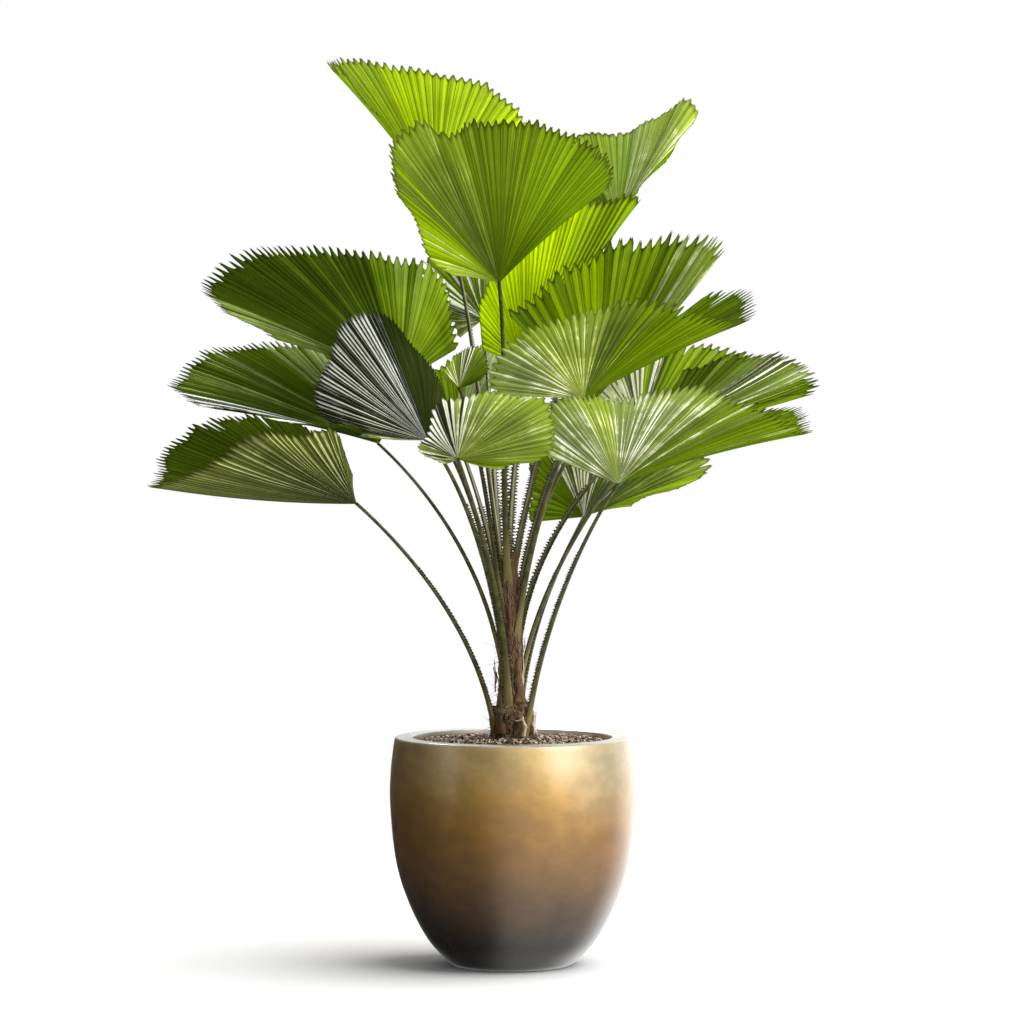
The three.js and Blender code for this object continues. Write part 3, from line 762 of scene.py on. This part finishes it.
def stalk_frames(frond):
    """The line with, at each point, its travel, the side toward the plant's middle and the side between."""
    points, travel = stalk_line(frond)
    compass = math.radians(frond["foot"][0])
    inner = np.array([-math.cos(compass), -math.sin(compass), 0.0])
    inners = []
    for step in travel:
        inner = inner - step * inner.dot(step)
        inner = inner / np.linalg.norm(inner)
        inners.append(inner)
    inners = np.array(inners)
    return points, travel, inners, np.cross(travel, inners)


def stalk_mesh(frond):
    """A channelled tube, with its clasping base carried a little way down the trunk."""
    points, travel, inners, sides = stalk_frames(frond)
    lengths = lengths_along(points)
    rows = [(points[0] - (0, 0, down) + inners[0] * SKIRT_IN * share, inners[0], sides[0], -down)
            for down, share in SKIRT]
    rows += list(zip(points, inners, sides, lengths))
    vertices, places = [], []
    for centre, inner, side, length in rows:
        radius = stalk_radius(max(0, length) / lengths[-1])
        clasp = math.exp(-max(0, length + 10) / CLASP_LENGTH)
        wide, deep = radius * (1.04 + 0.75 * clasp), radius * (0.9 - 0.25 * clasp)
        for k, a in enumerate(round_angles(STALK_SIDES)):
            channel = 1 - CHANNEL_DEPTH * math.exp(-((a - math.pi / 2) / 0.5) ** 2) * (1 - 0.6 * clasp)
            vertices.append(centre + side * wide * math.cos(a) + inner * deep * channel * math.sin(a))
            places.append((k / STALK_SIDES, length * MM))
    faces = grid_faces(len(rows), STALK_SIDES, closed=True) + [end_face(vertices, STALK_SIDES)]
    return vertices, faces, places


def spines(frond):
    """Small hooked spines on both edges of a stalk, longest near its base."""
    frames = stalk_frames(frond)
    lengths = lengths_along(frames[0])
    faces = [(k, (k + 1) % 4, 4 + (k + 1) % 4, 4 + k) for k in range(4)]
    faces += [(4 + k, 4 + (k + 1) % 4, 8) for k in range(4)]
    shapes = []
    for edge in (-1, 1):
        place = FIRST_SPINE + dice.uniform(0, SPINE_GAP)
        while place < lengths[-1] * SPINED_SHARE:
            share = place / lengths[-1]
            centre, step, inner, side = (np.array([np.interp(place, lengths, v[:, k]) for k in range(3)])
                                         for v in frames)
            tall = dice.uniform(*SPINE_LENGTHS) * (1 - 0.35 * share)
            root = centre + side * edge * stalk_radius(share) * 0.93 + inner * 1.2
            out = side * edge + inner * 0.25
            bend = root + out * tall * 0.55 + step * tall * 0.12
            tip = root + out * tall - step * tall * 0.35
            corners = []
            for middle, (half, thick) in zip((root, bend), SPINE_RINGS):
                corners += [middle - step * half, middle + inner * thick,
                            middle + step * half, middle - inner * thick]
            shapes.append((corners + [tip], faces))
            place += SPINE_GAP * dice.uniform(0.7, 1.35)
    return joined(shapes)


stalk_skin = stalk_finish()
spine_dark = wood_finish("spine_horn", rgb(26, 20, 14), rgb(66, 48, 32), 0.003, 0.5)
for name, frond in FRONDS.items():
    vertices, faces, places = stalk_mesh(frond)
    stalk = mesh_piece(f"leafstalk_{name}", vertices, faces, [stalk_skin])
    along = stalk.data.uv_layers.new(name="along")
    for loop in stalk.data.loops:
        along.data[loop.index].uv = places[loop.vertex_index]
    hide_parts(f"stalk_{name}")
all_spines = joined(spines(frond) for frond in FRONDS.values())
thorns = mesh_piece("stalk_spines", *all_spines, [spine_dark], smooth=False)

# Leaf blades: stiff thin fans, pleated from the stalk's tip to a margin of short forked teeth, with a rib
# along each fold. Backlit parts glow yellow green, partly through the leaf and partly painted brighter, and
# the waxy pleats carry pale streaks of painted highlight.
PLEAT_PITCH = 19
BLADE_ROWS = 20
BLADE_START = 2
MARGIN_STEPS = 60
MARGIN_REACH = 0.006
TOOTH_DEPTH = 0.045
SPLIT_SHARE = 0.09
PLEAT_DEPTH = 0.38
RIPPLE = 6
ARCH = 0.018
ACROSS = [(0.0, 1.0, -1.0), (0.2, 0.72, -0.2), (0.41, 0.0, 0.64), (0.5, 0.28, 1.0), (0.59, 0.04, 0.64),
          (0.8, 0.72, -0.2)]
FOLDS = (0, 3)
# Tones: the leaf finish with light and shade painted into its colour. bright is painted backlight, fresh,
# green, leaf, deep and shade step down from lit to painted shade, and each tone's pale streaks are mostly
# painted highlight.
TONES = {
    "bright": dict(base=(162, 192, 6), streak_glare=(206, 226, 60), glow=0.55, streaks=0.2, hub_shade=0.12),
    "fresh": dict(base=(124, 154, 18), streak_glare=(176, 198, 56), glow=0.42, streaks=0.3),
    "green": dict(base=(98, 126, 20), streak_glare=(150, 172, 54), glow=0.36, streaks=0.3, shine=0),
    "leaf": dict(base=(82, 104, 22), streak_glare=(136, 154, 58), glow=0.28, streaks=0.35, shine=0),
    "deep": dict(base=(64, 82, 16), streak_glare=(104, 124, 30), glow=0.26, streaks=0.35, shine=0),
    "shade": dict(base=(48, 58, 22), streak_glare=(92, 104, 52), glow=0.12, streaks=0.35, shine=0),
    # A green with painted shadow, deepest at the hub and gone two thirds of the way out.
    "dusk": dict(base=(92, 120, 14), streak_glare=(140, 164, 48), glow=0.3, streaks=0.25, hub_shade=0.72),
    "sage": dict(base=(98, 118, 40), streak_glare=(178, 192, 124), glow=0.25, streaks=0.56, side=0.16, glare_patches=0.5,
                 yellow=0.25),
    "olive": dict(base=(78, 86, 40), streak_glare=(180, 186, 138), glow=0.2, streaks=0.62, side=0.24, hub_shade=0.45,
                  shine=0),
    # White streaks of painted highlight over an olive green.
    "chalk": dict(base=(84, 96, 50), streak_glare=(255, 255, 255), glow=0.25, streaks=0.95, side=0.45, hub_shade=0.05),
    # This tone and the next carry pale streaks and broad patches of painted glare.
    "lime": dict(base=(152, 172, 84), streak_glare=(240, 244, 216), glow=0.34, streaks=0.72, side=0.12, glare_patches=0.7,
                 yellow=0.5),
    "pale": dict(base=(138, 156, 88), streak_glare=(255, 255, 252), glow=0.25, streaks=0.95, side=0.15, shine=0.1,
                 glare_patches=0.7, yellow=0.5),
    # Painted shade, almost black green, with white streaks of painted highlight on the lit side of the
    # pleats.
    "silver": dict(base=(34, 44, 16), streak_glare=(255, 255, 255), glow=0.1, streaks=0.82, side=0.4, hub_shade=0.15,
                   shine=0.05),
}
FOLD_SHADOW = (34, 40, 10)
MARGIN_YELLOW = (140, 168, 36)
TIP_BROWN = (46, 42, 22)


def leaf_finish(name, base, streak_glare, glow, streaks, side=0.14, hub_shade=0.3, shine=0.03, glare_patches=0.3, yellow=0.0):
    """Pleated leaf: ribbed, with brown-tipped teeth, lit from behind, and with light and shade painted into
    its colour:
    painted shade toward the hub, painted shadow in each valley fold, a painted highlight along each ridge,
    and pale streaks along the pleats that are mostly painted highlight and partly the leaf's own veins.

    streaks is how widely the pale streaks run, glare_patches how much they gather in broad patches of painted
    glare, side how much more of them the lit side of a pleat has, hub_shade how dark the painted shade at the
    hub is, and yellow how yellow the margin is.
    """
    material, wire, shader = new_finish(f"leaf_{name}")
    base, streak_glare = rgb(*base), rgb(*streak_glare)
    ribs = wire.node("UVMap", {"uv_map": "ribs"})
    pleat, reach = ribs.part(0), ribs.part(1)
    place = wire.node("NewGeometry")
    across = pleat.math("FRACT")
    from_fold = (across - 0.5).math("ABSOLUTE")
    leaflet = wire.node("TexWhiteNoise", {"noise_dimensions": "1D"}, {"W": pleat.math("FLOOR")})
    # Painted light: the side of each pleat past its ridge gets more of the pale streaks, as if it faced the
    # light.
    lit_side = across.between(0.46, 0.54) * leaflet.between(0.2, 0.4)
    brushed = ribs.stretched(3, 1.4, 1).noise(1.0, 4.0, 0.65)
    veins = ribs.stretched(3.4, 0.5, 1).noise(1.0, 3.0).between(0.38, 0.62)
    broad = place.noise(0.075, 4.0)
    start = 0.71 - 0.26 * streaks + glare_patches / 2
    lit = brushed * 0.6 + veins * 0.2 + lit_side * side + broad * glare_patches
    # Pale streaks along the ribs: partly the leaf's own veins, mostly painted highlight and glare.
    streak_glare_mask = lit.between(start, start + 0.14)
    with_streak_glare = (streak_glare_mask * min(1, streaks + 0.25)).mixed(base, streak_glare)
    grain = place.noise(0.0024, 2.0).between(0.3, 0.7)
    lighter = leaflet * 0.32 + veins * 0.5 + broad.between(0.3, 0.7) * 0.16 + grain * 0.22 + 0.42
    # Painted shade: darker toward the hub, where the pleats crowd together.
    painted_hub_shade = (1 - reach.between(0.0, 0.68)) * hub_shade
    colour = with_streak_glare.scaled(lighter * (1 - painted_hub_shade))
    # Painted highlight: a pale line along each pleat's ridge.
    with_ridge_glare = ((1 - from_fold.between(0.01, 0.07)) * 0.4).mixed(colour, streak_glare)
    # Painted shadow: dark in each valley fold.
    with_fold_shadow = (from_fold.between(0.4, 0.49) * 0.7).mixed(with_ridge_glare, rgb(*FOLD_SHADOW))
    yellowed = (reach.between(0.7, 0.92) * yellow).mixed(with_fold_shadow, rgb(*MARGIN_YELLOW))
    tipped = (reach.between(0.95, 1.0) * (0.85 - yellow * 0.6)).mixed(yellowed, rgb(*TIP_BROWN))
    feed(shader, Base_Color=tipped, Roughness=brushed * 0.2 + 0.38, Specular_IOR_Level=shine)
    feed(shader, Normal=(veins * 0.5 + brushed).bump(0.0008, 0.5))
    light_through = wire.node("BsdfTranslucent", None, {"Color": tipped.stretched(1.35, 1.3, 0.4)})
    skin = Wire(wire.tree, shader.outputs[0])
    feed(wire.tree.nodes["Material Output"],
         Surface=wire.node("MixShader", None, {0: glow, 1: skin, 2: light_through}))
    return material


def along_curve(curve, shares):
    """Points of a curve at shares of its length."""
    lengths = lengths_along(curve)
    places = np.clip(shares, 0, 1) * lengths[-1]
    return np.column_stack([np.interp(places, lengths, curve[:, k]) for k in range(3)])


def blade_mesh(frond, seed):
    """A pleated fan with forked teeth. Returns its points, faces, rib places and each leaflet's tone.

    A frond's pitch is a leaflet's width at the margin, teeth the depth of its notches as a share of the rib,
    crisp how deep its pleats are, and splits gives each tear's place among the ribs and its depth.
    """
    wild = random.Random(seed)
    teeth = frond.get("teeth", TOOTH_DEPTH)
    rib_tones = frond["tones"].split()
    hub = np.array(frond["hub"], float)
    tips = np.array([direction(bearing, lean) * length for bearing, lean, length in frond["ribs"]])
    curve = smooth_through(tips, MARGIN_STEPS, even=False)
    lengths = lengths_along(curve)
    leaflets = round(lengths[-1] / frond.get("pitch", PLEAT_PITCH))
    marks = lengths[::MARGIN_STEPS] / lengths[-1]
    guides = np.interp(np.arange(leaflets + 1) / leaflets, marks, np.arange(len(tips)))
    splits = {int(np.argmin(abs(guides - place))): depth for place, depth in frond.get("splits", ())}
    columns, tones = [], []
    for leaflet in range(leaflets):
        depth = teeth * wild.uniform(0.7, 1.25)
        short = wild.uniform(0, 0.028)
        notch = depth * (wild.uniform(1.5, 2.6) if wild.random() < SPLIT_SHARE else 1)
        for t, cut, fold in ACROSS:
            if t == 0:
                columns.append((leaflet, 1 - short - splits.get(leaflet, notch), fold))
            else:
                columns.append((leaflet + t + wild.gauss(0, 0.02), 1 - short - depth * cut, fold))
        nearest = round(np.interp(leaflet + 0.5, np.arange(leaflets + 1), guides) + wild.gauss(0, 0.35))
        tones.append(rib_tones[min(max(nearest, 0), len(tips) - 1)])
    columns.append((leaflets, 1 - teeth, -1.0))
    u, reach, fold = (np.array(values) for values in zip(*columns))
    tip = along_curve(curve, u / leaflets)
    ahead = along_curve(curve, u / leaflets + MARGIN_REACH) - along_curve(curve, u / leaflets - MARGIN_REACH)
    normal = np.cross(tip, ahead)
    normal /= np.linalg.norm(normal, axis=1, keepdims=True)
    full = np.linalg.norm(tip, axis=1)
    rib = tip / full[:, None]
    phase, waves = wild.uniform(0, math.tau), wild.uniform(3.5, 6)
    rows, places = [], []
    for v in np.linspace(0, 1, BLADE_ROWS):
        r = BLADE_START + (full * reach - BLADE_START) * v
        share = r / full
        half_pitch = 0.5 * lengths[-1] / leaflets * share
        out = fold * half_pitch * frond.get("crisp", 1) * (PLEAT_DEPTH - 0.18 * v)
        out = out + RIPPLE * share**2 * np.sin(math.tau * waves * u / leaflets + phase)
        out = out + ARCH * full * 4 * share * (1 - share)
        rows.append(hub + rib * r[:, None] + normal * out[:, None])
        places += [(x, v) for x in u]
    return np.vstack(rows), grid_faces(BLADE_ROWS, len(columns)), places, tones


def crease(mesh, columns):
    """Marks the folds of a blade as sharp, so that each side of a pleat stays flat."""
    ends = np.zeros(2 * len(mesh.edges), np.int64)
    mesh.edges.foreach_get("vertices", ends)
    first, second = np.sort(ends.reshape(-1, 2), axis=1).T
    fold = (second - first == columns) & np.isin(first % columns % len(ACROSS), FOLDS)
    mesh.attributes.new("sharp_edge", "BOOLEAN", "EDGE").data.foreach_set("value", fold)


leaf_tones = {name: leaf_finish(name, **tone) for name, tone in TONES.items()}
fans = []
for seed, (name, frond) in enumerate(FRONDS.items()):
    points, faces, places, tones = blade_mesh(frond, seed)
    used = sorted(set(tones))
    blade = mesh_piece(f"fan_{name}", points, faces, [leaf_tones[tone] for tone in used])
    per_row = len(faces) // (BLADE_ROWS - 1)
    dealt = [used.index(tones[(k % per_row) // len(ACROSS)]) for k in range(len(faces))]
    blade.data.polygons.foreach_set("material_index", dealt)
    crease(blade.data, per_row + 1)
    ribs = blade.data.uv_layers.new(name="ribs")
    corners = np.zeros(len(blade.data.loops), np.int64)
    blade.data.loops.foreach_get("vertex_index", corners)
    ribs.data.foreach_set("uv", np.array(places, np.float32)[corners].ravel())
    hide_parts(f"blade_{name}")
    fans.append(blade)

# Studio: a pale floor with its own sun, a soft key light from the right on the plant alone, one high behind
# that shines through the leaves, one in front to the right, and a weak one to the left on the fans. The
# surround is brighter above and to the right, and gloss also mirrors a narrow window and a bright back.
CAMERA_PLACE = (0, -8.57, 1.15)
CAMERA_TARGET = (0, 0, 0.929)
LENS = 147
SENSOR_WIDTH = 36
FLOOR_WIDTHS = (-3.2, 3.2)
FLOOR_DEPTHS = (-4.0, 2.4)
FLOOR_LEVEL = -0.0005
FLOOR_WHITE = 0.93
WINDOW_X = -0.86
WINDOW_HALF_WIDTH = 0.13


def placed(name, data, place=(0, 0, 0), aim=None):
    """An object in the scene that holds the data, at a place and looking along aim."""
    held = bpy.data.objects.new(name, data)
    held.location = place
    if aim is not None:
        held.rotation_euler = aim.to_track_quat("-Z", "Y").to_euler()
    bpy.context.scene.collection.objects.link(held)
    return held


def area_light(name, place, target, size, watts):
    """A round white lamp at a place, turned to a target."""
    light = bpy.data.lights.new(name, "AREA")
    light.shape = "DISK"
    light.size = size
    light.energy = watts
    return placed(name, light, place, Vector(target) - Vector(place))


def sun_light(name, compass, height, softness, strength, colour=(1, 1, 1)):
    """A sun that stands at a compass angle and a height, all in degrees."""
    light = bpy.data.lights.new(name, "SUN")
    light.angle = math.radians(softness)
    light.energy = strength
    light.color = colour
    a, b = math.radians(compass), math.radians(height)
    sunward = Vector((math.cos(a) * math.cos(b), math.sin(a) * math.cos(b), math.sin(b)))
    return placed(name, light, aim=-sunward)


def linking(name, objects, state="INCLUDE"):
    """A collection that tells a lamp which objects it lights, or which shade it."""
    group = bpy.data.collections.new(name)
    for held in objects:
        group.objects.link(held)
    for entry in group.collection_objects:
        entry.light_linking.link_state = state
    return group


floor_mesh = bpy.data.meshes.new("studio_floor")
floor_corners = [(x, y, FLOOR_LEVEL) for y in FLOOR_DEPTHS for x in FLOOR_WIDTHS]
floor_mesh.from_pydata(floor_corners, [], [(0, 1, 3, 2)])
floor_paint, _, floor_shader = new_finish("floor_paint")
feed(floor_shader, Base_Color=(FLOOR_WHITE, FLOOR_WHITE, FLOOR_WHITE, 1), Roughness=0.8)
floor_mesh.materials.append(floor_paint)
studio_floor = placed("studio_floor", floor_mesh)
studio_floor.visible_glossy = False

key_light = sun_light("key_light", compass=5, height=40, softness=20, strength=3.2, colour=(1.0, 0.98, 0.95))
floor_light = sun_light("floor_light", compass=-8, height=60, softness=62, strength=3.3)
back_light = area_light("back_light", (-0.6, 2.6, 3.6), (0, 0, 1.3), size=1.6, watts=230)
front_light = area_light("front_light", (3.3, -2.8, 2.3), (0, 0, 0.8), size=3.6, watts=92)
fill_light = area_light("fill_light", (-3.0, -3.6, 1.5), (0, 0, 1.1), size=2.2, watts=50)
all_but_floor = linking("all_but_floor", [studio_floor], "EXCLUDE")
key_light.light_linking.receiver_collection = linking("all_but_pot", [studio_floor, pot], "EXCLUDE")
floor_light.light_linking.receiver_collection = linking("only_floor", [studio_floor])
floor_light.light_linking.blocker_collection = linking("only_pot", [pot])
back_light.light_linking.receiver_collection = all_but_floor
front_light.light_linking.receiver_collection = all_but_floor
fill_light.light_linking.receiver_collection = linking("only_fans", fans)

world = bpy.data.worlds.new("surround")
world.use_nodes = True
surround = Wire(world.node_tree)
toward = surround.node("TexCoord")
to_right, backward, upward = (toward.part(k) for k in range(3))
seen = surround.node("LightPath")
mirrored = surround.node("LightPath", output=3)
sheen = backward.between(0.3, 0.9) * to_right.between(-0.05, 0.3) * 1.2
window = 1 - (to_right - WINDOW_X).math("ABSOLUTE").between(0.0, WINDOW_HALF_WIDTH)
window = window * (1 - backward.between(-0.2, 0.1)) * 0.9 * upward.between(-0.15, 0.1)
glow = to_right.between(-0.4, 0.05) * 0.44 + upward.between(0.3, 0.95) * 0.3 + 0.03
glow = glow + mirrored * (sheen + window)
feed(world.node_tree.nodes["Background"], Color=(1, 1, 1, 1), Strength=seen + (1 - seen) * glow)
bpy.context.scene.world = world

camera = bpy.data.cameras.new("camera")
camera.lens = LENS
camera.sensor_width = SENSOR_WIDTH
ahead = Vector(CAMERA_TARGET) - Vector(CAMERA_PLACE)
bpy.context.scene.camera = placed("camera", camera, CAMERA_PLACE, ahead)
bpy.context.scene.view_settings.view_transform = "Standard"
